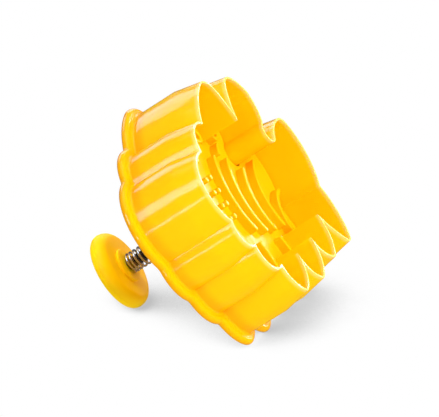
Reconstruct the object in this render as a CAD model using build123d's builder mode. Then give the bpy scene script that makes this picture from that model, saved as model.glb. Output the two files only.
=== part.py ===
from build123d import *
import math
import os

# A plunger cutter for rolled dough, in the shape of a bee seen from the side.
# A plastic shell carries the thin cutting edge, a stamp with a raised pattern
# slides inside it, and a spring between the shell's roof and the knob lifts
# the stamp again after each cut.
#
# The cutting edge lies on Z = 0 and the knob is up. The plunger slides on the
# Z axis, which is the middle of the outline. All lengths are in millimetres.

# Outline of the cut dough piece, which is the inner wall of the shell.
outline_reach_x = 31.0
outline_reach_y = 40.0
shortest_run = 0.25

# Radii that round the outline's corners, as shares of its reach in X.
wing_round_share = 0.194
hind_wing_round_share = 0.161
tail_round_share = 0.116
sting_round_share = 0.058
foot_round_share = 0.042
gap_mouth_round_share = 0.052
gap_root_round_share = 0.097

# Each row is one corner: its place as shares of the two reaches, how far the
# run to the next corner bows outwards as a share of its length, and the
# share for its radius, where it has one.
corner_shares = [
    (-0.22, -0.62, 0.15, gap_root_round_share),
    (-0.39, -0.97, 0.16, tail_round_share),
    (0.30, -0.885, 0.12, 0),
    (0.88, -0.85, 0.05, sting_round_share),
    (0.51, -0.56, 0.16, 0),
    (0.90, -0.42, 0.16, foot_round_share),
    (0.65, -0.21, 0.16, 0),
    (1.00, -0.01, 0.16, foot_round_share),
    (0.70, 0.17, 0.16, 0),
    (1.01, 0.38, 0.16, foot_round_share),
    (0.70, 0.54, 0.33, 0),
    (0.42, 0.75, 0.36, 0),
    (0.145, 0.885, 0.37, 0),
    (-0.51, 0.69, 0.24, 0),
    (-0.72, 0.39, 0.10, 0),
    (-1.06, -0.11, 0.03, wing_round_share),
    (-0.59, -0.22, 0.07, 0),
    (-0.98, -0.44, 0.12, hind_wing_round_share),
    (-0.76, -0.66, 0.10, hind_wing_round_share),
    (-0.47, -0.60, -0.40, gap_mouth_round_share),
]

# Shell: a thin edge that grows into a thicker wall, a bead round the back to
# press on, and a roof that guides the plunger.
edge_thickness = 0.6
wall_thickness = 2.2
taper_height = 8.4
shell_height = 24.1
bead_height = 2.5
bead_overhang = 2.6
bead_edge_round = 1.2
bead_soft_corner = 2.0
groove_round_share = 0.87
roof_thickness = 2.0
guide_boss_radius = 3.9
guide_boss_height = 3.0
running_clearance = 0.06

# Plunger pin of drawn steel.
pin_radius = 1.6
pin_chamfer = 0.3
pin_depth_in_knob = 3.6

# Return spring of steel wire.
spring_outer_radius = 3.03
wire_diameter = 0.65
end_pitch = 1.1
end_turns = 2
middle_turns = 12
pressed_spring_room = 12.9
spring_seat_depth = 0.6
spring_seat_clearance = 0.3
spring_play = 0.1

# Knob, pressed on the pin's upper end. Its edge is a quarter round on the side
# of the cutter.
knob_radius = 11.65
knob_edge_round = 2.7
knob_side_height = 1.6
knob_crown_height = 2.5
knob_crown_round = 1.8
knob_boss_radius = 5.1
knob_boss_height = 0.7
knob_boss_round = 0.3

# Stamp, pressed on the pin's lower end. At the end of its travel the pattern
# stands a little way out of the shell, so that the cut piece drops off.
stamp_thickness = 2.0
stamp_clearance = 0.35
stamp_rim_width = 1.2
stamp_rim_height = 2.0
push_past_edge = 0.6
hub_radius = 4.5
hub_height = 3.8
hub_clearance = 0.3
rib_width = 1.2
rib_count = 3

# Raised pattern on the stamp: bows with round ends, wing cells, a ring for the
# eye and dots for the fur.
pattern_height = 2.6
pattern_edge_round = 0.35
stroke_width = 1.4
wing_cell_reach_share = 0.2
wing_cell_half_width_share = 0.1
eye_radius_share = 0.084
dot_radius = 0.85
dot_pitch_shares = (0.136, 0.09)
dot_columns = 4
dot_rows = 2

# Each row is one bow: where it starts and ends as shares of the two reaches,
# and its rise as a share of its length.
body_ring_shares = [
    (-0.42, -0.15, 0.32, -0.10, -0.17),
    (-0.34, -0.335, 0.38, -0.26, -0.19),
    (-0.19, -0.50, 0.41, -0.42, -0.20),
    (-0.20, -0.745, 0.42, -0.60, -0.20),
    (0.14, -0.86, 0.56, -0.70, -0.24),
]
wing_vein_shares = [
    (-0.58, 0.33, -0.88, 0.16, 0.08),
    (-0.47, 0.16, -0.56, 0.06, 0.10),
    (-0.43, -0.27, -0.50, -0.33, 0.10),
]
leg_shares = [
    (0.52, -0.41, 0.75, -0.43, 0.08),
    (0.46, -0.03, 0.84, -0.02, 0.10),
    (0.44, 0.22, 0.86, 0.37, 0.10),
    (0.66, -0.78, 0.80, -0.82, 0.05),
]
head_shares = [
    (0.12, 0.66, 0.28, 0.765, 0.14),
    (0.24, 0.54, 0.50, 0.66, 0.14),
    (-0.36, 0.82, 0.06, 0.84, -0.20),
    (-0.44, 0.56, -0.40, 0.72, -0.10),
    (-0.62, 0.50, -0.62, 0.60, -0.10),
]
collar_shares = [
    (-0.50, 0.38, -0.30, 0.45, 0.34),
    (-0.22, 0.465, 0.00, 0.47, 0.34),
    (0.08, 0.46, 0.29, 0.41, 0.34),
]

# Middle of each wing cell as shares of the reaches, with its turn in degrees.
wing_cell_shares = [
    (-0.74, -0.01, -50),
    (-0.70, -0.44, 40),
]
eye_place_shares = (-0.12, 0.66)
dot_field_shares = (-0.08, 0.16)

# Sizes worked out from those above.
cavity_height = shell_height - roof_thickness
bead_underside = shell_height - bead_height
gap_root_round = gap_root_round_share * outline_reach_x
groove_round = groove_round_share * (gap_root_round - wall_thickness)
guide_radius = pin_radius + running_clearance
spring_radius = spring_outer_radius - wire_diameter / 2
spring_seat_radius = spring_outer_radius + spring_seat_clearance
spring_seat_height = shell_height - spring_seat_depth
hub_top_height = cavity_height - guide_boss_height - hub_clearance
stamp_back_height = hub_top_height - hub_height
stamp_face_height = stamp_back_height - stamp_thickness
plunger_travel = stamp_face_height - pattern_height + push_past_edge
knob_boss_face = spring_seat_height + pressed_spring_room + plunger_travel
knob_face_height = knob_boss_face + knob_boss_height
knob_widest_height = knob_face_height + knob_edge_round
knob_face_radius = knob_radius - knob_edge_round
pin_length = knob_face_height + pin_depth_in_knob - stamp_back_height
wing_cell_reach = wing_cell_reach_share * outline_reach_x
wing_cell_half_width = wing_cell_half_width_share * outline_reach_x
eye_radius = eye_radius_share * outline_reach_x


def bowed_run(start, end, bow_share):
    """One arc from start to end that rises by a share of its length."""
    chord = end - start
    rise = Vector(chord.Y, -chord.X) * bow_share
    ThreePointArc(start, (start + end) / 2 + rise, end)


def place(x_share, y_share):
    """A point given in shares of the outline's two reaches."""
    return Vector(x_share * outline_reach_x, y_share * outline_reach_y)


with BuildSketch() as raw_outline:
    with BuildLine():
        following = corner_shares[1:] + corner_shares[:1]
        for corner, next_corner in zip(corner_shares, following):
            bowed_run(place(*corner[:2]), place(*next_corner[:2]), corner[2])
    make_face()
    for x_share, y_share, bow_share, round_share in corner_shares:
        if round_share:
            corner_point = place(x_share, y_share)
            nearest = raw_outline.vertices().sort_by_distance(corner_point)[0]
            fillet(nearest, round_share * outline_reach_x)

# The plunger's axis runs through the middle of the outline.
outline_middle = raw_outline.sketch.bounding_box().center()

with BuildSketch() as outline:
    with Locations(-outline_middle):
        add(raw_outline.sketch)


def plain_arcs(sketch):
    """The sketch drawn again as arcs, each ending where the next one starts.

    Runs too short to matter are left out.
    """
    runs = sketch.face().outer_wire().order_edges()
    runs = [run for run in runs if run.length > shortest_run]
    with BuildSketch() as redrawn:
        with BuildLine():
            for run, next_run in zip(runs, runs[1:] + runs[:1]):
                ThreePointArc(run @ 0, run @ 0.5, next_run @ 0)
        make_face()
    return redrawn.sketch


def grown(sketch, amount, kind):
    """The sketch grown by an amount. A run beside an arc is an arc as well."""
    with BuildSketch() as rough:
        add(sketch)
        offset(amount=amount, kind=kind)
    return plain_arcs(rough.sketch)


# The edge and the wall keep the corners that point outwards. The bead is soft
# in its hollows, because it is grown too far first and then taken back.
edge_outline = grown(outline.sketch, edge_thickness, Kind.INTERSECTION)
wall_outline = grown(outline.sketch, wall_thickness, Kind.INTERSECTION)
bead_reach = wall_thickness + bead_overhang
wide_bead_outline = grown(outline.sketch, bead_reach + bead_soft_corner, Kind.ARC)
bead_outline = grown(wide_bead_outline, -bead_soft_corner, Kind.ARC)
plate_outline = grown(plain_arcs(outline.sketch), -stamp_clearance, Kind.ARC)
rim_opening = grown(plate_outline, -stamp_rim_width, Kind.ARC)

# Cutter shell
with BuildPart() as cutter_shell:
    # Bead round the back, soft in its hollows
    with BuildSketch(Plane.XY.offset(bead_underside)):
        add(bead_outline)
    extrude(amount=bead_height)
    bead_edges = cutter_shell.edges().filter_by(Axis.Z, reverse=True)
    fillet(bead_edges, bead_edge_round)

    # Wall: straight below the bead, then tapered down to the edge
    with BuildSketch(Plane.XY.offset(taper_height)) as wall_foot:
        add(wall_outline)
    extrude(amount=bead_underside - taper_height)
    loft([edge_outline.face(), wall_foot.sketch.face()], ruled=True)

    # Rounded groove where the wall runs into the bead, as large as the wall's
    # tightest hollow leaves room for
    underside = cutter_shell.faces().filter_by(Plane.XY).group_by(Axis.Z)[-2]
    fillet(underside.face().inner_wires().edges(), groove_round)

    # Cavity that the stamp slides in, straight from the edge to the roof
    with BuildSketch():
        add(outline.sketch)
    extrude(amount=cavity_height, mode=Mode.SUBTRACT)

    # Boss under the roof, spring seat on it, and the bore that guides the pin
    with BuildSketch(Plane.XY.offset(cavity_height)):
        Circle(guide_boss_radius)
    extrude(amount=-guide_boss_height)
    with BuildSketch(Plane.XY.offset(shell_height)):
        Circle(spring_seat_radius)
    extrude(amount=-spring_seat_depth, mode=Mode.SUBTRACT)
    with BuildSketch(Plane.XY.offset(shell_height)):
        Circle(guide_radius)
    extrude(amount=-roof_thickness - guide_boss_height, mode=Mode.SUBTRACT)

# Stamp
with BuildPart() as stamp:
    with BuildSketch(Plane.XY.offset(stamp_face_height)):
        add(plate_outline)
    extrude(amount=stamp_thickness)

    # Stiffening rim, ribs and hub on the back
    with BuildSketch(Plane.XY.offset(stamp_back_height)):
        add(plate_outline)
        add(rim_opening, mode=Mode.SUBTRACT)
    extrude(amount=stamp_rim_height)
    with BuildSketch(Plane.XY.offset(stamp_back_height)):
        with PolarLocations(0, rib_count, angular_range=180):
            Rectangle(2 * outline_reach_x + 2 * outline_reach_y, rib_width)
        add(rim_opening, mode=Mode.INTERSECT)
    extrude(amount=stamp_rim_height)
    with BuildSketch(Plane.XY.offset(stamp_back_height)):
        Circle(hub_radius)
    extrude(amount=hub_top_height - stamp_back_height)
    with BuildSketch(Plane.XY.offset(hub_top_height)):
        Circle(pin_radius)
    extrude(amount=stamp_back_height - hub_top_height, mode=Mode.SUBTRACT)

    # Raised pattern on the face
    with BuildSketch(Plane.XY.offset(stamp_face_height)):
        bows = body_ring_shares + wing_vein_shares + leg_shares
        bows += head_shares + collar_shares
        with Locations(-outline_middle):
            for x_start, y_start, x_end, y_end, bow_share in bows:
                with BuildLine(mode=Mode.PRIVATE) as bow:
                    bowed_run(place(x_start, y_start), place(x_end, y_end), bow_share)
                SlotArc(bow.line.edge(), stroke_width)
            for x_share, y_share, turn in wing_cell_shares:
                with Locations(Location(place(x_share, y_share), (0, 0, turn))):
                    Ellipse(wing_cell_reach, wing_cell_half_width)
                    Ellipse(
                        wing_cell_reach - stroke_width,
                        wing_cell_half_width - stroke_width,
                        mode=Mode.SUBTRACT,
                    )
            with Locations(place(*eye_place_shares)):
                Circle(eye_radius)
                Circle(eye_radius - stroke_width, mode=Mode.SUBTRACT)
            dot_pitch = place(*dot_pitch_shares)
            with Locations(place(*dot_field_shares)):
                with GridLocations(dot_pitch.X, dot_pitch.Y, dot_columns, dot_rows):
                    Circle(dot_radius)
        add(plate_outline, mode=Mode.INTERSECT)
    extrude(amount=-pattern_height)
    pattern_faces = stamp.faces().filter_by(Plane.XY).group_by(Axis.Z)[0]
    fillet(pattern_faces.edges(), pattern_edge_round)

# Plunger pin
with BuildPart() as plunger_pin:
    with BuildSketch(Plane.XY.offset(stamp_back_height)):
        Circle(pin_radius)
    extrude(amount=pin_length)
    chamfer(plunger_pin.edges().filter_by(GeomType.CIRCLE), pin_chamfer)

# Knob: a button with a domed back and a flat face towards the cutter
with BuildPart() as knob:
    crown_corner = (knob_radius, knob_widest_height + knob_side_height)
    crown_top = (0, crown_corner[1] + knob_crown_height)
    with BuildSketch(Plane.XZ) as knob_profile:
        with BuildLine():
            TangentArc(crown_top, crown_corner, tangent=(1, 0))
            Polyline(
                crown_top,
                (0, knob_boss_face),
                (knob_boss_radius, knob_boss_face),
                (knob_boss_radius, knob_face_height),
                (knob_face_radius, knob_face_height),
            )
            TangentArc(
                (knob_radius, knob_widest_height),
                (knob_face_radius, knob_face_height),
                tangent=(0, -1),
            )
            Line((knob_radius, knob_widest_height), crown_corner)
        make_face()
        crown_vertex = knob_profile.vertices().sort_by_distance(crown_corner)[0]
        fillet(crown_vertex, knob_crown_round)
    revolve(axis=Axis.Z)
    boss_edge = knob.edges().filter_by(GeomType.CIRCLE).sort_by(Axis.Z)[0]
    fillet(boss_edge, knob_boss_round)
    with BuildSketch(Plane.XY.offset(knob_boss_face)):
        Circle(pin_radius)
    extrude(amount=knob_boss_height + pin_depth_in_knob, mode=Mode.SUBTRACT)

# Return spring: one wire whose last turns lie closer together
quarters = 4 * (2 * end_turns + middle_turns)
spring_low = spring_seat_height + spring_play + wire_diameter / 2
spring_high = knob_boss_face - spring_play - wire_diameter / 2
middle_rise = spring_high - spring_low - 2 * end_turns * end_pitch
rises = [end_pitch / 4] * (4 * end_turns)
rises += [middle_rise / middle_turns / 4] * (4 * middle_turns)
rises += [end_pitch / 4] * (4 * end_turns)


def spring_knot(index):
    """Point and direction of the wire after a number of quarter turns."""
    angle = math.radians(90 * index)
    height = spring_low + sum(rises[:index])
    point = Vector(
        spring_radius * math.cos(angle), spring_radius * math.sin(angle), height
    )
    rise_before = rises[max(index - 1, 0)]
    rise_after = rises[min(index, quarters - 1)]
    climb = (rise_before + rise_after) / 2 / (math.radians(90) * spring_radius)
    return point, Vector(-math.sin(angle), math.cos(angle), climb).normalized()


def spring_quarter(index):
    """Two arcs that carry the wire on by a quarter turn without a kink."""
    start, leaving = spring_knot(index)
    end, arriving = spring_knot(index + 1)
    chord = end - start
    along = chord.dot(leaving + arriving)
    turn = 2 * (1 - leaving.dot(arriving))
    reach = (math.sqrt(along**2 + turn * chord.dot(chord)) - along) / turn
    middle = (start + end + (leaving - arriving) * reach) / 2
    TangentArc(start, middle, tangent=leaving)
    crossing = chord - (leaving + arriving) * reach
    TangentArc(middle, end, tangent=crossing)


with BuildPart() as return_spring:
    with BuildLine() as spring_path:
        for index in range(quarters):
            spring_quarter(index)
    first_point, first_direction = spring_knot(0)
    with BuildSketch(Plane(origin=first_point, z_dir=first_direction)):
        Circle(wire_diameter / 2)
    sweep(path=spring_path.wire())

pieces = {
    "cutter_shell": cutter_shell,
    "stamp": stamp,
    "plunger_pin": plunger_pin,
    "knob": knob,
    "return_spring": return_spring,
}
os.makedirs("parts", exist_ok=True)
for name, piece in pieces.items():
    piece.part.label = name
    export_step(piece.part, f"parts/{name}.step")
    print(name, "volume", round(piece.part.volume, 1))

# Least gap between the spring's turns, measured on points half a turn apart
# or more along the wire.
points_per_turn = 24
point_count = points_per_turn * quarters // 4
wire_points = [
    spring_path.wire().position_at(step / point_count)
    for step in range(point_count + 1)
]
least_gap = min(
    (wire_points[later] - point).length
    for number, point in enumerate(wire_points)
    for later in range(number + points_per_turn // 2, point_count + 1)
)
print("spring gap", round(least_gap - wire_diameter, 3))
wire_section = math.pi * wire_diameter**2 / 4
print("spring section times length", round(spring_path.wire().length * wire_section, 1))
print("plunger travel", round(plunger_travel, 2))
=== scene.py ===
# %% [markdown]
# # A plunger cutter in Blender
# A plunger cutter is a cookie cutter with a push rod. The shell cuts the dough,
# and the stamp inside it prints a pattern and then pushes the cut piece out.
# The exact model comes in first, as a fixed frame. Each step after that gives
# it looks, and makes anew the pieces that need a finer or a moving surface.

# %% Load the frame
import math

import bpy
import numpy as np
from mathutils import Matrix, Vector


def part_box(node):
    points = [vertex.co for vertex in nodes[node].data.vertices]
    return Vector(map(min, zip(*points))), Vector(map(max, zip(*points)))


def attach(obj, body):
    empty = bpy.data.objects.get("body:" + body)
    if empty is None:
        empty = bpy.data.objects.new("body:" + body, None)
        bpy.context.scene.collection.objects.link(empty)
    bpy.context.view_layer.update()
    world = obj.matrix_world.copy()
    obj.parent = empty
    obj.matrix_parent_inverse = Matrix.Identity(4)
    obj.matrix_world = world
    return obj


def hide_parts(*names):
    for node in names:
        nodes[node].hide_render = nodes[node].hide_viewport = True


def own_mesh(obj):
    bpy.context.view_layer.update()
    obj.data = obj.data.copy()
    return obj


MM = 0.001
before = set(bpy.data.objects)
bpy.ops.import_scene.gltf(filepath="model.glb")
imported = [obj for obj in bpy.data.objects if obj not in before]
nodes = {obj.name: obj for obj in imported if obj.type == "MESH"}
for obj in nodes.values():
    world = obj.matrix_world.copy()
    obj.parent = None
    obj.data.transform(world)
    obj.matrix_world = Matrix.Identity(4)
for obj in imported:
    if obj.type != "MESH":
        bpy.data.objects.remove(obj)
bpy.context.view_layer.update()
print("nodes", sorted(nodes))


# %% [markdown]
# Every new surface here is a grid of points. Its rows run along a profile or a
# wire, and its columns run round it. One helper turns such a grid into a
# closed mesh. Each end is drawn together in one point, as on a turned part, so
# no hole is left there.
#
# Blender shades each face flat at first. Smooth shading hides the edges between
# the faces, but an edge of the real piece has to stay sharp, so a second helper
# keeps those where the surface turns by more than some degrees.

# %% Grids of points into meshes
def grid_mesh(name, points, start, end):
    """A closed tube from points[row, column, xyz], with a fan at both ends.

    Column k joins column k + 1, and the last column joins the first. The fans
    meet in the points start and end.
    """
    rows, columns = points.shape[:2]
    row, column = np.meshgrid(np.arange(rows - 1), np.arange(columns), indexing="ij")
    here = row * columns + column
    beside = row * columns + (column + 1) % columns
    quads = np.stack([here, beside, beside + columns, here + columns], axis=-1)
    ring = np.arange(columns)
    ahead = (ring + 1) % columns
    last_row = (rows - 1) * columns
    start_point = np.full(columns, rows * columns)
    end_point = start_point + 1
    start_fan = np.stack([ahead, ring, start_point], axis=-1)
    end_fan = np.stack([last_row + ring, last_row + ahead, end_point], axis=-1)
    faces = quads.reshape(-1, 4).tolist() + start_fan.tolist() + end_fan.tolist()
    vertices = np.vstack([points.reshape(-1, 3), start, end])
    mesh = bpy.data.meshes.new(name)
    mesh.from_pydata(vertices.tolist(), [], faces)
    piece = bpy.data.objects.new(name, mesh)
    bpy.context.scene.collection.objects.link(piece)
    return piece


def shade_smooth(piece, sharp_degrees):
    """Smooth shading, except where two faces meet at more than an angle."""
    piece.data.shade_smooth()
    piece.data.set_sharp_from_angle(angle=math.radians(sharp_degrees))
    print(piece.name, len(piece.data.polygons), "faces")


# %% [markdown]
# The knob is a round button and the pin is a round bar, so each is a profile
# turned about the plunger's axis, as a lathe does it. Each point of the profile
# goes once round. The profile starts and ends on the axis, and its arcs have
# enough points for a clean highlight.

# %% Turned pieces
TURN_COLUMNS = 192
EDGE_DEGREES = 32


def arc(centre, radius, start_degrees, end_degrees, count):
    """Points (r, z) of an arc: centre + radius (cos a, sin a) for even angles a."""
    angle = np.radians(np.linspace(start_degrees, end_degrees, count))
    return np.asarray(centre) + radius * np.stack([np.cos(angle), np.sin(angle)], -1)


def turned(name, profile_mm):
    """A profile of points (r, z) turned about Z: x = r cos a, y = r sin a."""
    profile = np.asarray(profile_mm, float) * MM
    angle = np.linspace(0, 2 * np.pi, TURN_COLUMNS, endpoint=False)
    radius, height = profile[1:-1, :1], profile[1:-1, 1:]
    x, y = radius * np.cos(angle), radius * np.sin(angle)
    points = np.stack([x, y, height + 0 * angle], -1)
    return grid_mesh(name, points, (0, 0, profile[0, 1]), (0, 0, profile[-1, 1]))


# %% [markdown]
# The knob is a moulded button with a flat boss underneath, on which the spring
# presses, and a low crown on top for the finger. Its mould opens at its widest
# place, which leaves a fine line round the rim. The real one shows it as a row
# of small glints. Here it is a ridge six hundredths of a millimetre high.
#
# The sizes are the exact model's, in millimetres, and the knob's reach is read
# from the frame. The exact model's own mesh could stay, but its facets would
# show in a highlight as wide as this one, so the profile is turned anew.

# %% Knob
KNOB_LOW, KNOB_HIGH = (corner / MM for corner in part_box("knob"))
BOSS_RADIUS = 5.1
BOSS_HEIGHT = 0.7
BOSS_ROUND = 0.3
EDGE_ROUND = 2.7
SIDE_HEIGHT = 1.6
CROWN_ROUND = 1.8
BORE_RADIUS = 1.6
BORE_DEPTH = 4.3
SEAM_HEIGHT = 0.06
SEAM_WIDTH = 0.22

side_radius = KNOB_HIGH.x - SEAM_HEIGHT
face_height = KNOB_LOW.z + BOSS_HEIGHT
widest_height = face_height + EDGE_ROUND
crown_drop = KNOB_HIGH.z - widest_height - SIDE_HEIGHT
crown_radius = (side_radius**2 + crown_drop**2) / (2 * crown_drop)
crown_centre = KNOB_HIGH.z - crown_radius
corner_r = side_radius - CROWN_ROUND
corner_z = crown_centre + math.sqrt((crown_radius - CROWN_ROUND) ** 2 - corner_r**2)
corner_turn = math.degrees(math.atan2(corner_z - crown_centre, corner_r))
seam_z = (widest_height + corner_z) / 2
boss_corner = (BOSS_RADIUS - BOSS_ROUND, KNOB_LOW.z + BOSS_ROUND)
edge_centre = (side_radius - EDGE_ROUND, widest_height)

knob_profile = np.vstack(
    [
        [(0, KNOB_LOW.z + BORE_DEPTH), (BORE_RADIUS, KNOB_LOW.z + BORE_DEPTH)],
        [(BORE_RADIUS, KNOB_LOW.z)],
        arc(boss_corner, BOSS_ROUND, -90, 0, count=6),
        [(BOSS_RADIUS, face_height)],
        arc(edge_centre, EDGE_ROUND, -90, 0, count=28),
        [(side_radius, seam_z - SEAM_WIDTH / 2), (KNOB_HIGH.x, seam_z)],
        [(side_radius, seam_z + SEAM_WIDTH / 2)],
        arc((corner_r, corner_z), CROWN_ROUND, 0, corner_turn, count=14),
        arc((0, crown_centre), crown_radius, corner_turn, 90, count=40)[1:],
    ]
)
knob = turned("knob_button", knob_profile)
shade_smooth(knob, EDGE_DEGREES)
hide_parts("knob")
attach(knob, "plunger")

# %% [markdown]
# The pin is drawn steel bar, cut to length and chamfered at both ends. It
# joins the knob to the stamp inside the shell. The exact model's bar has fewer
# sides, which would show in bright metal, and the same lathe makes a rounder one
# from a profile of six points.

# %% Plunger pin
PIN_LOW, PIN_HIGH = (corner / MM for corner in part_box("plunger_pin"))
PIN_CHAMFER = 0.3

pin_radius = PIN_HIGH.x
pin = turned(
    "pin_bar",
    [
        (0, PIN_LOW.z),
        (pin_radius - PIN_CHAMFER, PIN_LOW.z),
        (pin_radius, PIN_LOW.z + PIN_CHAMFER),
        (pin_radius, PIN_HIGH.z - PIN_CHAMFER),
        (pin_radius - PIN_CHAMFER, PIN_HIGH.z),
        (0, PIN_HIGH.z),
    ],
)
shade_smooth(pin, EDGE_DEGREES)
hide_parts("plunger_pin")
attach(pin, "plunger")

# %% [markdown]
# The return spring is one steel wire wound into a helix. A curve with a round bevel could
# draw it, but a tube of rings gives one thing more. It carries an attribute that says how far
# along and round the wire a point lies, for the drawn finish.
#
# The turns at both ends lie closer together, so the rise from turn to turn, the
# pitch, changes along the helix. The heights come first.

# %% Heights of the spring's turns
SPRING_LOW, SPRING_HIGH = (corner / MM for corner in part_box("return_spring"))
WIRE_RADIUS = 0.325
TURNS = 16
END_TURNS = 2
END_PITCH = 1.1
SWELL_TURNS = 0.25
RINGS_PER_TURN = 72

free_length = SPRING_HIGH.z - SPRING_LOW.z
helix_length = free_length - 2 * WIRE_RADIUS
middle_pitch = (helix_length - 2 * END_TURNS * END_PITCH) / (TURNS - 2 * END_TURNS)


def helix_height(turn):
    """Height of the wire's middle after some turns: the running sum of the pitch.

    The pitch is END_PITCH in the end turns and rises smoothly to the middle
    pitch. The sum is scaled so that the wire just fills the spring's length.
    """
    from_end = np.minimum(turn, TURNS - turn)
    swell = np.clip((from_end - END_TURNS) / SWELL_TURNS + 0.5, 0, 1)
    swell = swell**2 * (3 - 2 * swell)
    pitch = END_PITCH + (middle_pitch - END_PITCH) * swell
    steps = (pitch[1:] + pitch[:-1]) / 2 * np.diff(turn)
    height = np.concatenate([[0], np.cumsum(steps)])
    return SPRING_LOW.z + WIRE_RADIUS + height * helix_length / height[-1]


turn = np.linspace(0, TURNS, TURNS * RINGS_PER_TURN + 1)
height = helix_height(turn)
print("pitch in the middle", round(middle_pitch, 2), "mm")

# %% [markdown]
# The middle of the wire follows the helix, and round each of its points lies a
# ring of points. A ring needs two directions at right angles to the wire: one
# points away from the spring's axis, and the other follows from it and the
# wire's own direction.

# %% Return spring
WIRE_COLUMNS = 20
WIRE_EDGE_DEGREES = 50

helix_radius = (SPRING_HIGH.x - SPRING_LOW.x) / 2 - WIRE_RADIUS


def wire_rings(turn, height, around):
    """Rings round the helix: middle + r (cos b outwards + sin b across).

    Outwards points away from the axis. Across is at right angles to outwards
    and to the wire.
    """
    angle = 2 * np.pi * turn
    outwards = np.stack([np.cos(angle), np.sin(angle), 0 * angle], -1)
    middle = helix_radius * outwards
    middle[:, 2] = height
    along = np.gradient(middle, axis=0)
    along /= np.linalg.norm(along, axis=1, keepdims=True)
    across = np.cross(along, outwards)
    b = around[None, :, None]
    ring = np.cos(b) * outwards[:, None] + np.sin(b) * across[:, None]
    return middle, middle[:, None] + WIRE_RADIUS * ring


around = np.linspace(0, 2 * np.pi, WIRE_COLUMNS, endpoint=False)
middle, rings = wire_rings(turn, height, around)
spring = grid_mesh("spring_wire", rings * MM, middle[0] * MM, middle[-1] * MM)
shade_smooth(spring, WIRE_EDGE_DEGREES)

# %% [markdown]
# The wire's finish runs along the wire, and the wire winds round and round. So
# each point keeps its own place on the wire as an attribute: how far along it
# lies in millimetres, and how far round, as a cosine and a sine. With an angle
# instead, the seam between the last and the first column would show.

# %% Place on the wire
along_mm = turn[:, None] * 2 * np.pi * helix_radius + 0 * around
cosine = np.cos(around) + 0 * along_mm
sine = np.sin(around) + 0 * along_mm
wire_place = np.stack([along_mm, cosine, sine], -1)
ends = np.array([[0, 0, 0], [along_mm.max(), 0, 0]])
wire_place = np.vstack([wire_place.reshape(-1, 3), ends])
attribute = spring.data.attributes.new("wire_place", "FLOAT_VECTOR", "POINT")
attribute.data.foreach_set("vector", wire_place.ravel())
print("wire", round(along_mm.max()), "mm long")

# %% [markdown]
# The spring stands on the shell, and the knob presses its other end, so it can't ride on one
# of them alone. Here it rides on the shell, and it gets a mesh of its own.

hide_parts("return_spring")
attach(spring, "shell")
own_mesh(spring)


# %% [markdown]
# A finish is a small network of shader nodes. Written as Python expressions it
# reads like a formula. A Signal wraps one output of a node, and plus, minus
# and times on it add Math nodes. Every other node comes from one method.

# %% Shader expressions
class Signal:
    """One output of a shader node, which Python's operators can work on."""

    def __init__(self, tree, socket):
        self.tree = tree
        self.socket = socket

    def node(self, kind, settings, values, output=0):
        """A new node in the same tree: its settings first, then its sockets."""
        made = self.tree.nodes.new(kind)
        for name, value in settings.items():
            setattr(made, name, value)
        for name, value in values.items():
            if isinstance(value, Signal):
                self.tree.links.new(value.socket, made.inputs[name])
            else:
                made.inputs[name].default_value = value
        return Signal(self.tree, made.outputs[output])

    def math(self, operation, first, second):
        """A Math node on two values. Each is a signal or a number."""
        settings = {"operation": operation}
        return self.node("ShaderNodeMath", settings, {0: first, 1: second})

    def __add__(self, other):
        return self.math("ADD", self, other)

    def __sub__(self, other):
        return self.math("SUBTRACT", self, other)

    def __rsub__(self, other):
        return self.math("SUBTRACT", other, self)

    def __mul__(self, other):
        return self.math("MULTIPLY", self, other)

    __radd__ = __add__
    __rmul__ = __mul__

    def ramp(self, low, high):
        """0 where the signal is below low, 1 above high, smooth between them."""
        settings = {"interpolation_type": "SMOOTHSTEP", "clamp": True}
        values = {"Value": self, "From Min": low, "From Max": high}
        return self.node("ShaderNodeMapRange", settings, values)

    def blend(self, first, second):
        """The colour first where the signal is 0 and second where it is 1.

        A Mix node has sockets of the same name for numbers, places and colours,
        so the colours' sockets are told by their numbers.
        """
        values = {0: self, 6: first, 7: second}
        return self.node("ShaderNodeMix", {"data_type": "RGBA"}, values, 2)

    def scaled(self, scales):
        """A place with its axes scaled, so that noise on it becomes streaks."""
        values = {"Vector": self, "Scale": scales}
        return self.node("ShaderNodeMapping", {"vector_type": "POINT"}, values)

    def noise(self, scale, detail):
        """Smooth noise from 0 to 1, with scale bumps to a unit of length."""
        values = {"Vector": self, "Scale": scale, "Detail": detail}
        return self.node("ShaderNodeTexNoise", {}, values)

    def bump(self, strength, height_mm):
        """A normal bent by the signal as a relief of that height."""
        values = {"Height": self, "Strength": strength, "Distance": height_mm * MM}
        return self.node("ShaderNodeBump", {}, values)

    def part(self, axis):
        """One of the three numbers of a place."""
        return self.node("ShaderNodeSeparateXYZ", {}, {0: self}, "XYZ".index(axis))


# %% [markdown]
# A new material already has one shader, the Principled BSDF. Two helpers are
# left to write. One makes the material and gives the place on the piece, from
# which every pattern starts: Object coordinates, so that a pattern sticks to its
# piece when the plunger moves. The other fills the shader's sockets. A value that
# is the same all over goes straight into its socket.

# %% Finishes
def new_finish(name):
    """A material, and the place on its piece in metres as a signal."""
    material = bpy.data.materials.new(name)
    material.use_nodes = True
    tree = material.node_tree
    coordinates = tree.nodes.new("ShaderNodeTexCoord")
    return material, Signal(tree, coordinates.outputs["Object"])


def set_shader(material, sockets):
    """Sets or links sockets of the material's shader by their names."""
    tree = material.node_tree
    shader = tree.nodes["Principled BSDF"]
    for name, value in sockets.items():
        if isinstance(value, Signal):
            tree.links.new(value.socket, shader.inputs[name])
        else:
            shader.inputs[name].default_value = value


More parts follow.
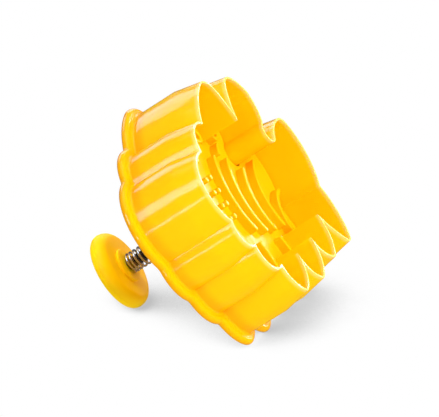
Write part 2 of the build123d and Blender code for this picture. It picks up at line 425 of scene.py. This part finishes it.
# %% [markdown]
# The cutting wall grows thicker from its edge upwards, and on the real shell its
# slope changes little by little. The exact model has one line where the slope
# starts, which would show as a crease. The points on that line get the normal
# halfway between both slopes, so that the light changes softly along the wall.
# The shape stays as it is. Only points on upright walls are meant, so a normal
# that points much up or down is left alone. Geometry nodes are nodes too, so the
# same Signal writes them.

# %% Soft start of the taper
TAPER_HEIGHT = 8.4 * MM
TAPER_LINE = 0.02 * MM
UPRIGHT = 0.3
HALF_SLOPE = -0.1


def soft_taper(piece):
    """Turns normals n on the taper's line to n + (0, 0, HALF_SLOPE - n_z)."""
    tree = bpy.data.node_groups.new("soft_taper", "GeometryNodeTree")
    kind = "NodeSocketGeometry"
    for in_out in ("INPUT", "OUTPUT"):
        tree.interface.new_socket("Mesh", in_out=in_out, socket_type=kind)
    mesh = Signal(tree, tree.nodes.new("NodeGroupInput").outputs[0])
    height = mesh.node("GeometryNodeInputPosition", {}, {}).part("Z")
    normal = mesh.node("GeometryNodeInputNormal", {}, {})
    slope = normal.part("Z")
    compare = {"operation": "COMPARE"}
    near_line = {0: height, 1: TAPER_HEIGHT, 2: TAPER_LINE}
    near_upright = {0: slope, 1: 0.0, 2: UPRIGHT}
    on_line = mesh.node("ShaderNodeMath", compare, near_line)
    upright = mesh.node("ShaderNodeMath", compare, near_upright)
    change = on_line * upright * (HALF_SLOPE - slope)
    change = mesh.node("ShaderNodeCombineXYZ", {}, {2: change})
    add = {"operation": "ADD"}
    softened = mesh.node("ShaderNodeVectorMath", add, {0: normal, 1: change})
    settings = {"mode": "FREE", "domain": "CORNER"}
    values = {"Mesh": mesh, "Custom Normal": softened}
    shaded = mesh.node("GeometryNodeSetMeshNormal", settings, values)
    tree.links.new(shaded.socket, tree.nodes.new("NodeGroupOutput").inputs[0])
    piece.modifiers.new("soft_taper", "NODES").node_group = tree
    print(piece.name, "has a soft start of its taper")


soft_taper(nodes["cutter_shell"])

# %% [markdown]
# The yellow is moulded plastic with a high gloss. Close up it is not one flat
# colour. The pigment lies in faint streaks, the mould's polish leaves fine
# lines that run the way the part was drawn out of it, and the skin is a little
# uneven. Thin plastic also warps a little as it cools, so the light on it is
# wavy. Four weak noises of different sizes give these. A little light goes into
# the plastic and comes out beside, which softens the shade.
#
# The shell has more to it. Its cutting edge is so thin that light shines through it, and it
# looks paler than the wall. That glow is painted into its colour as a paler yellow, which
# fades out over the first millimetre above the edge, which lies on Z = 0. Towards the bead
# the plastic gets thick and doesn't warp, and its colour is painted deeper there: a painted
# shade that tones down the strong light on the bead.

# %% Moulded plastic
STREAKS = 55
STREAK_RANGE = (0.3, 0.7)
STREAK_STRETCH = (1, 1, 0.4)
WAVES = 150
WAVE_STRETCH = (1, 1, 0.6)
SKIN = 420
LINE_HEIGHT = 0.5
WAVE_HEIGHT = 9.0
RELIEF_STRENGTH = 0.2
RELIEF_MM = 0.1
LINE_ROUGHNESS = 0.06
SKIN_ROUGHNESS = 0.04
LIGHT_INSIDE = 0.5
LIGHT_INSIDE_COLOUR = (1.0, 0.85, 0.05)
LIGHT_INSIDE_REACH = 0.4 * MM
EDGE_FADE = (0.15 * MM, 1.3 * MM)
BEAD_FADE = (17.0 * MM, 20.0 * MM)
# A painted glow for the thin edge, and a painted shade for the bead.
PAINTED_EDGE_GLOW = (0.98, 0.620, 0.130, 1)
BEAD_PAINTED_SHADE = (0.95, 0.425, 0.001, 1)


def moulded_plastic(name, deep, bright, polish_lines, gloss, mirror, is_shell=False):
    """Plastic whose colour drifts between deep and bright.

    Polish_lines has the number of lines to a metre along each axis, gloss is
    the least roughness, and mirror is how strongly the skin reflects.
    """
    material, place = new_finish(name)
    streaks = place.scaled(STREAK_STRETCH).noise(STREAKS, detail=3)
    lines = place.scaled(polish_lines).noise(1, detail=2)
    waves = place.scaled(WAVE_STRETCH).noise(WAVES, detail=1) - 0.5
    skin = place.noise(SKIN, detail=2)
    colour = streaks.ramp(*STREAK_RANGE).blend(deep, bright)
    # On the shell, a paler yellow at the edge is a painted glow, and a deeper yellow on the
    # bead is a painted shade.
    if is_shell:
        height = place.part("Z")
        thick_bead_and_shade = height.ramp(*BEAD_FADE)
        colour = thick_bead_and_shade.blend(colour, BEAD_PAINTED_SHADE)
        colour = height.ramp(*EDGE_FADE).blend(PAINTED_EDGE_GLOW, colour)
        waves = waves * (1 - thick_bead_and_shade)
    relief = LINE_HEIGHT * lines + skin + WAVE_HEIGHT * waves
    sockets = {
        "Base Color": colour,
        "Roughness": gloss + LINE_ROUGHNESS * lines + SKIN_ROUGHNESS * skin,
        "Normal": relief.bump(RELIEF_STRENGTH, RELIEF_MM),
        "Specular IOR Level": mirror,
        "Subsurface Weight": LIGHT_INSIDE,
        "Subsurface Radius": LIGHT_INSIDE_COLOUR,
        "Subsurface Scale": LIGHT_INSIDE_REACH,
    }
    set_shader(material, sockets)
    return material


# %% [markdown]
# All three yellow pieces come from the same pellets, but they don't look quite the same. The
# shell has the highest gloss, and the polish lines of its walls run along Z. The stamp's
# mould is less polished, and in the photograph it is the deepest yellow; its colour is
# painted deeper still, a painted shade that tones down the front box's strong light on its
# face. The knob is nearly matt, so that a finger doesn't slip, and its colour is painted
# lighter, painted light for the shell's shade in which it lies.

# %% Yellow pieces
DEEP_YELLOW = (0.96, 0.505, 0.001, 1)
BRIGHT_YELLOW = (0.98, 0.540, 0.002, 1)
# The stamp's yellow is painted deeper: a painted shade against the front box's light.
STAMP_PAINTED_SHADE_DEEP = (0.95, 0.455, 0.001, 1)
STAMP_PAINTED_SHADE_BRIGHT = (0.97, 0.490, 0.002, 1)
# The knob's yellow is painted lighter: painted light for the shell's shade.
KNOB_PAINTED_LIGHT_DEEP = (0.99, 0.600, 0.001, 1)
KNOB_PAINTED_LIGHT_BRIGHT = (1.0, 0.630, 0.002, 1)

shell_plastic = moulded_plastic(
    "shell_plastic",
    DEEP_YELLOW,
    BRIGHT_YELLOW,
    polish_lines=(900, 900, 30),
    gloss=0.08,
    mirror=0.18,
    is_shell=True,
)
stamp_plastic = moulded_plastic(
    "stamp_plastic",
    STAMP_PAINTED_SHADE_DEEP,
    STAMP_PAINTED_SHADE_BRIGHT,
    polish_lines=(350, 350, 350),
    gloss=0.16,
    mirror=0.25,
)
knob_plastic = moulded_plastic(
    "knob_plastic",
    KNOB_PAINTED_LIGHT_DEEP,
    KNOB_PAINTED_LIGHT_BRIGHT,
    polish_lines=(250, 250, 900),
    gloss=0.34,
    mirror=0.05,
)

# %% [markdown]
# Steel shows mostly what it reflects, so its finish lies in its roughness. The
# pin and the wire were drawn through a die, which leaves fine lines along
# them. On the straight pin they run along Z. On the spring they follow the
# wire, which its own attribute tells. The noise is stretched along the lines:
# where the scaled place hardly changes, the noise hardly does.

# %% Drawn steel
DIE_GLOSS = 0.08
DIE_ROUGHNESS = 0.16
DIE_STRENGTH = 0.15
DIE_MM = 0.02
PIN_BRIGHT = (0.24, 0.23, 0.22, 1)
PIN_DULL = (0.14, 0.13, 0.12, 1)
PIN_LINES = (5000, 5000, 60)
WIRE_BRIGHT = (0.80, 0.80, 0.81, 1)
WIRE_DULL = (0.50, 0.48, 0.46, 1)
WIRE_LINES = (0.15, 6, 6)


def drawn_steel(name, bright, dull, line_scales, attribute_name=""):
    """Steel with fine lines on the object's place, or on an attribute's."""
    material, place = new_finish(name)
    if attribute_name:
        settings = {"attribute_type": "GEOMETRY", "attribute_name": attribute_name}
        place = place.node("ShaderNodeAttribute", settings, {}, "Vector")
    lines = place.scaled(line_scales).noise(1, detail=3)
    sockets = {
        "Base Color": lines.blend(bright, dull),
        "Metallic": 1.0,
        "Roughness": DIE_GLOSS + DIE_ROUGHNESS * lines,
        "Normal": lines.bump(DIE_STRENGTH, DIE_MM),
    }
    set_shader(material, sockets)
    return material


pin_steel = drawn_steel("bar_steel", PIN_BRIGHT, PIN_DULL, PIN_LINES)
wire_steel = drawn_steel("wire_steel", WIRE_BRIGHT, WIRE_DULL, WIRE_LINES, "wire_place")

# %% [markdown]
# The shell and the stamp are the exact model's own meshes, and they take their
# new finish in place of the one they came with. The three new pieces have none
# yet.

# %% Hand out the finishes
finishes = (
    (nodes["cutter_shell"], shell_plastic),
    (nodes["stamp"], stamp_plastic),
    (knob, knob_plastic),
    (pin, pin_steel),
    (spring, wire_steel),
)
for piece, material in finishes:
    piece.data.materials.clear()
    piece.data.materials.append(material)
    print(piece.name, "gets", material.name)

# %% [markdown]
# The camera looks almost straight at the head end and a little into the open
# side. Its axes were worked out from the photograph: in which direction the
# long side, the short side and the plunger point there, and how short each
# looks. A long lens from far away keeps parallel lines parallel. The lens's
# length follows from how many pixels a millimetre of the cutter has in the
# picture.

# %% Camera
PICTURE_WIDTH_PX = 439
PX_PER_MM = 3.6
SENSOR_WIDTH = 36
CAMERA_DISTANCE = 2.0
CLIP_START = 0.01
TARGET_MM = (0.23, 0, 15.44)

look_back = Vector((0, 0.931, -0.365)).normalized()
picture_right = Vector((0.533, -0.309, -0.788))
picture_right -= picture_right.dot(look_back) * look_back
picture_right.normalize()
picture_up = look_back.cross(picture_right)
picture_axes = Matrix((picture_right, picture_up, look_back)).transposed()
target = Vector(TARGET_MM) * MM

lens = bpy.data.cameras.new("camera")
lens.sensor_width = SENSOR_WIDTH
lens.lens = SENSOR_WIDTH * CAMERA_DISTANCE * PX_PER_MM / MM / PICTURE_WIDTH_PX
lens.clip_start = CLIP_START
camera = bpy.data.objects.new("camera", lens)
bpy.context.scene.collection.objects.link(camera)
camera_place = target + look_back * CAMERA_DISTANCE
camera.matrix_world = Matrix.Translation(camera_place) @ picture_axes.to_4x4()
bpy.context.scene.camera = camera
print("lens", round(lens.lens, 1))


# %% [markdown]
# The cutter lies on its side. Two lobes of the bead and the rim of the knob
# touch the table. The table's plane is found by rolling: from a first guess of
# which way is up, the lowest point of each of the three parts is found, the
# plane through these points gives a better guess, and so on until it rests.
# The first guess is the picture's upwards, tipped a little to the camera.

# %% Where the cutter rests
ROLLS = 30
MIDDLE_LOBE_HALF = 8 * MM
TAIL_LOBE_START = -25 * MM
GUESS_UP = 0.95
GUESS_BACK = 0.3


def mesh_points(node):
    """All points of a CAD node as an array, in metres."""
    mesh = nodes[node].data
    values = np.empty(len(mesh.vertices) * 3)
    mesh.vertices.foreach_get("co", values)
    return values.reshape(-1, 3)


def resting_plane(groups, up):
    """Normal of the plane through each group's lowest point, and those points."""
    for _ in range(ROLLS):
        low = [group[(group @ up).argmin()] for group in groups]
        normal = np.cross(low[1] - low[0], low[2] - low[0])
        normal /= np.linalg.norm(normal)
        up = normal if normal @ up > 0 else -normal
    return up, low


shell_points = mesh_points("cutter_shell")
middle_lobe = shell_points[np.abs(shell_points[:, 1]) < MIDDLE_LOBE_HALF]
tail_lobe = shell_points[shell_points[:, 1] < TAIL_LOBE_START]
groups = (middle_lobe, tail_lobe, mesh_points("knob"))
guess = (GUESS_UP * picture_up + GUESS_BACK * look_back).normalized()
table_up, touching = resting_plane(groups, np.array(guess))
table_height = touching[0] @ table_up
lowest = (shell_points @ table_up).min() - table_height
print("table up", table_up.round(3), "shell above it by", round(lowest / MM, 3), "mm")

# %% [markdown]
# The table is one square in that plane, far wider than the picture. Two
# directions in the plane and a height along its normal give its four corners.
# The yellow would look milky if it mirrored so much white, so reflections leave
# the table out.

# %% Table
TABLE_HALF = 0.6

table_x = np.cross(table_up, (0, 0, 1.0))
table_x /= np.linalg.norm(table_x)
table_y = np.cross(table_up, table_x)
sides = np.array([(-1, -1), (1, -1), (1, 1), (-1, 1)]) * TABLE_HALF
corners = table_up * table_height + sides[:, :1] * table_x + sides[:, 1:] * table_y
table_mesh = bpy.data.meshes.new("table")
table_mesh.from_pydata(corners.tolist(), [], [(0, 1, 2, 3)])
table = bpy.data.objects.new("table", table_mesh)
bpy.context.scene.collection.objects.link(table)
table.visible_glossy = False
print("table", 2 * TABLE_HALF, "m wide")

# %% [markdown]
# The photograph shows the cutter on pure white with a soft grey shadow. A plain white floor
# under lamps would turn grey towards the picture's corners. So this is a light table, as
# photographers use for small goods. It glows evenly, and a painted shadow darkens its glow
# only where the cutter would shade it.
#
# An ambient occlusion node measures that: it looks up from each point and tells
# how much of that view is free. It looks up aslant, to the left and to the
# camera, because the photograph's shadow falls to the right. Seen from below
# the table is clear, so that it doesn't hide the cutter.

# %% Table finish
SHADOW_REACH = 0.055
SHADOW_GREY = (0.52, 0.52, 0.52, 1)
SHADOW_RANGE = (0.35, 0.7)
SHADOW_LEAN = (-0.6, -0.3, 1.2)
SHADOW_SAMPLES = 16
WHITE = (1, 1, 1, 1)
BLACK = (0, 0, 0, 1)

table_finish, on_table = new_finish("light_table")
aslant = (Vector(table_up) + picture_axes @ Vector(SHADOW_LEAN)).normalized()
lean = on_table.node("ShaderNodeCombineXYZ", {}, dict(enumerate(aslant)))
occlusion = {"Distance": SHADOW_REACH, "Normal": lean}
settings = {"samples": SHADOW_SAMPLES}
free_view = on_table.node("ShaderNodeAmbientOcclusion", settings, occlusion, "AO")
# The glow's colour holds the painted shadow: grey where the cutter hides much of the view.
table_sockets = {
    "Base Color": BLACK,
    "Specular IOR Level": 0.0,
    "Emission Color": free_view.ramp(*SHADOW_RANGE).blend(SHADOW_GREY, WHITE),
    "Emission Strength": 1.0,
}
set_shader(table_finish, table_sockets)

# From above the glow shows, and from below a clear shader takes its place.
tree = table_finish.node_tree
glow = Signal(tree, tree.nodes["Principled BSDF"].outputs[0])
clear = glow.node("ShaderNodeBsdfTransparent", {}, {})
below = glow.node("ShaderNodeNewGeometry", {}, {}, "Backfacing")
seen = glow.node("ShaderNodeMixShader", {}, {0: below, 1: glow, 2: clear})
tree.links.new(seen.socket, tree.nodes["Material Output"].inputs["Surface"])
table_mesh.materials.append(table_finish)
print("shadow reaches", SHADOW_REACH / MM, "mm")


# %% [markdown]
# Soft boxes light the cutter. The one above lights the upper walls and the
# bead. The one in front looks into the open side, and reflections leave it
# out, because it would lie as a veil on the yellow. The third stands behind on
# the right, and the thin edge and the tops of the pattern mirror it.
#
# Where it stands follows from the law of reflection. A surface that faces the
# direction n sends the camera's view c on in the direction 2 (n.c) n - c. The
# edge faces down the cutter's axis, so n is nearly -Z.
#
# A lamp's power grows with its area here, so that lamps of the same brightness
# look equally bright, whatever their size.

# %% Light boxes
BOX_DISTANCE = 0.7
STRIP_DISTANCE = 0.5
EDGE_NORMAL = Vector((0, 0.06, -1)).normalized()
Z_AXIS = Vector((0, 0, 1))


def soft_box(name, centre, upwards, size, brightness):
    """A lamp turned to the target. Its power is pi times brightness times area."""
    width, length = size
    data = bpy.data.lights.new(name, "AREA")
    data.shape = "RECTANGLE"
    data.size = width
    data.size_y = length
    data.energy = brightness * math.pi * width * length
    lamp = bpy.data.objects.new(name, data)
    bpy.context.scene.collection.objects.link(lamp)
    out = (centre - target).normalized()
    up = (upwards - upwards.dot(out) * out).normalized()
    turn_to_target = Matrix((up.cross(out), up, out)).transposed().to_4x4()
    lamp.matrix_world = Matrix.Translation(centre) @ turn_to_target
    print(name, "of", width, "by", round(length, 3), "m")
    return lamp


def in_picture(right, up, back):
    """A direction given by its parts along the picture's three axes."""
    return (picture_axes @ Vector((right, up, back))).normalized()


def mirrored(normal):
    """Where a surface with this normal sends the camera's view."""
    return 2 * normal.dot(look_back) * normal - look_back


top_centre = target + in_picture(right=-0.25, up=0.95, back=0.15) * BOX_DISTANCE
front_centre = target + in_picture(right=0.55, up=0.35, back=0.75) * BOX_DISTANCE
edge_centre = target + mirrored(EDGE_NORMAL) * STRIP_DISTANCE
soft_box("top_box", top_centre, look_back, size=(0.6, 0.6), brightness=1.15)
front_box = soft_box("front_box", front_centre, picture_up, size=(0.5, 0.5), brightness=7.8)
front_box.visible_glossy = False
soft_box("edge_box", edge_centre, Z_AXIS, size=(0.22, 0.07), brightness=12.0)

# %% [markdown]
# The lamps that are still to come are each meant for some pieces alone. Light
# linking does that: a lamp names a collection, and lights only the pieces in
# it. These collections are in no scene, so they change nothing else.

# %% Pieces that a lamp lights
def receivers(name, pieces):
    """A collection of the pieces that a lamp lights."""
    chosen = bpy.data.collections.new(name)
    for piece in pieces:
        chosen.objects.link(piece)
    print(name, [piece.name for piece in pieces])
    return chosen


yellow_pieces = (nodes["cutter_shell"], nodes["stamp"], knob)
plastic_pieces = receivers("plastic_pieces", yellow_pieces)
steel_pieces = receivers("steel_pieces", (pin, spring))
knob_only = receivers("knob_only", (knob,))

# %% [markdown]
# The pale streaks on the walls are mirror images of strip lamps. The walls lean
# a little towards the edge, so a strip reaches from the direction for an
# upright wall to the one for a leaning wall, and its streak runs along the
# whole wall. A card behind the cutter does the same for the bead.
#
# Yellow plastic already sends back nearly all red and much of the green. A
# white streak on it would look lemon, but those of the photograph are cream, so
# these lamps have less green. On steel they would look pink, so they are for
# the plastic pieces alone.

# %% Streaks on the plastic
WALL_LEANS = (-4, 14)
STREAK_COLOUR = (1.0, 0.68, 0.9)


def wall_normal(degrees, lean_degrees):
    """Normal of a wall that faces an angle a about Z and leans by b to the edge.

    It is cos b (cos a, sin a, 0) - sin b (0, 0, 1).
    """
    facing, leaning = math.radians(degrees), math.radians(lean_degrees)
    level = Vector((math.cos(facing), math.sin(facing), 0))
    return math.cos(leaning) * level - math.sin(leaning) * Z_AXIS


def only_mirrored(lamp):
    """Makes a lamp show in the plastic's reflections and nowhere else."""
    lamp.visible_diffuse = False
    lamp.data.color = STREAK_COLOUR
    lamp.light_linking.receiver_collection = plastic_pieces


def streak_strip(name, degrees, width, brightness):
    """A strip lamp that puts a streak on walls that face an angle about Z."""
    ways = [mirrored(wall_normal(degrees, lean)) for lean in WALL_LEANS]
    ends = [target + way * STRIP_DISTANCE for way in ways]
    along = ends[1] - ends[0]
    centre = (ends[0] + ends[1]) / 2
    only_mirrored(soft_box(name, centre, along, (width, along.length), brightness))


streak_strip("soft_streak", degrees=152, width=0.16, brightness=4.0)
streak_strip("broad_streak", degrees=112, width=0.16, brightness=16.0)
streak_strip("narrow_streak", degrees=92, width=0.04, brightness=18.0)
back_centre = target + in_picture(right=0.0, up=0.62, back=-0.78) * BOX_DISTANCE
back_card = soft_box("back_card", back_centre, picture_up, size=(0.45, 0.25), brightness=3.2)
only_mirrored(back_card)

# %% [markdown]
# Steel gets its look only from what it mirrors. Two cool cards are there for
# the spring and the pin alone: a wide light blue one above on the left, and a
# slim whiter one on the right.

# %% Cards for the steel
CARD_BLUE = (0.42, 0.70, 1.0)
CARD_WHITE = (0.8, 0.9, 1.0)

wide_centre = target + in_picture(right=-0.45, up=0.75, back=0.45) * BOX_DISTANCE
slim_centre = target + in_picture(right=0.65, up=0.20, back=0.75) * BOX_DISTANCE
wide_card = soft_box("wide_card", wide_centre, picture_up, size=(0.30, 0.50), brightness=5.5)
slim_card = soft_box("slim_card", slim_centre, picture_up, size=(0.10, 0.30), brightness=18.0)
for card, colour in ((wide_card, CARD_BLUE), (slim_card, CARD_WHITE)):
    card.data.color = colour
    card.light_linking.receiver_collection = steel_pieces

# %% [markdown]
# The knob lies in the shell's shade, and in the photograph it is nearly as
# bright as the rest. A spot lamp with a narrow beam lights it and nothing else.
# The beam fades out towards its rim, so that no edge of light shows.

# %% Beam for the knob
BEAM_DISTANCE = 0.3
BEAM_DEGREES = 13
BEAM_FADE = 1.0
BEAM_SOFTNESS = 0.04
BEAM_POWER = 6.0

knob_place = Vector((0, 0, face_height)) * MM
beam_data = bpy.data.lights.new("knob_beam", "SPOT")
beam_data.spot_size = math.radians(BEAM_DEGREES)
beam_data.spot_blend = BEAM_FADE
beam_data.shadow_soft_size = BEAM_SOFTNESS
beam_data.energy = BEAM_POWER
beam = bpy.data.objects.new("knob_beam", beam_data)
bpy.context.scene.collection.objects.link(beam)
beam_way = in_picture(right=-0.34, up=0.85, back=0.39)
beam.location = knob_place + beam_way * BEAM_DISTANCE
beam.rotation_euler = (beam.location - knob_place).to_track_quat("Z", "Y").to_euler()
beam.light_linking.receiver_collection = knob_only
print("beam of", BEAM_DEGREES, "degrees from", BEAM_DISTANCE, "m")

# %% [markdown]
# The room is white where the camera sees it. It lights the cutter from all
# sides, and in reflections it is darker, so that the gloss shows the lamps and
# the steel gets its dark lines. The Light Path node tells which kind of ray
# asks. The Standard view keeps white pure white and the yellow strong.

# %% Room
ROOM_LIGHT = 0.62
ROOM_IN_REFLECTIONS = 0.15

world = bpy.data.worlds.new("white_room")
world.use_nodes = True
bpy.context.scene.world = world
sky = world.node_tree
path = sky.nodes.new("ShaderNodeLightPath")
by_camera = Signal(sky, path.outputs["Is Camera Ray"])
by_mirror = Signal(sky, path.outputs["Is Glossy Ray"])
strength = ROOM_LIGHT + by_camera * (1 - ROOM_LIGHT)
strength = strength + by_mirror * (ROOM_IN_REFLECTIONS - ROOM_LIGHT)
background = sky.nodes["Background"]
sky.links.new(strength.socket, background.inputs["Strength"])
background.inputs["Color"].default_value = WHITE
bpy.context.scene.view_settings.view_transform = "Standard"
print("room", ROOM_LIGHT, "and", ROOM_IN_REFLECTIONS, "in reflections")
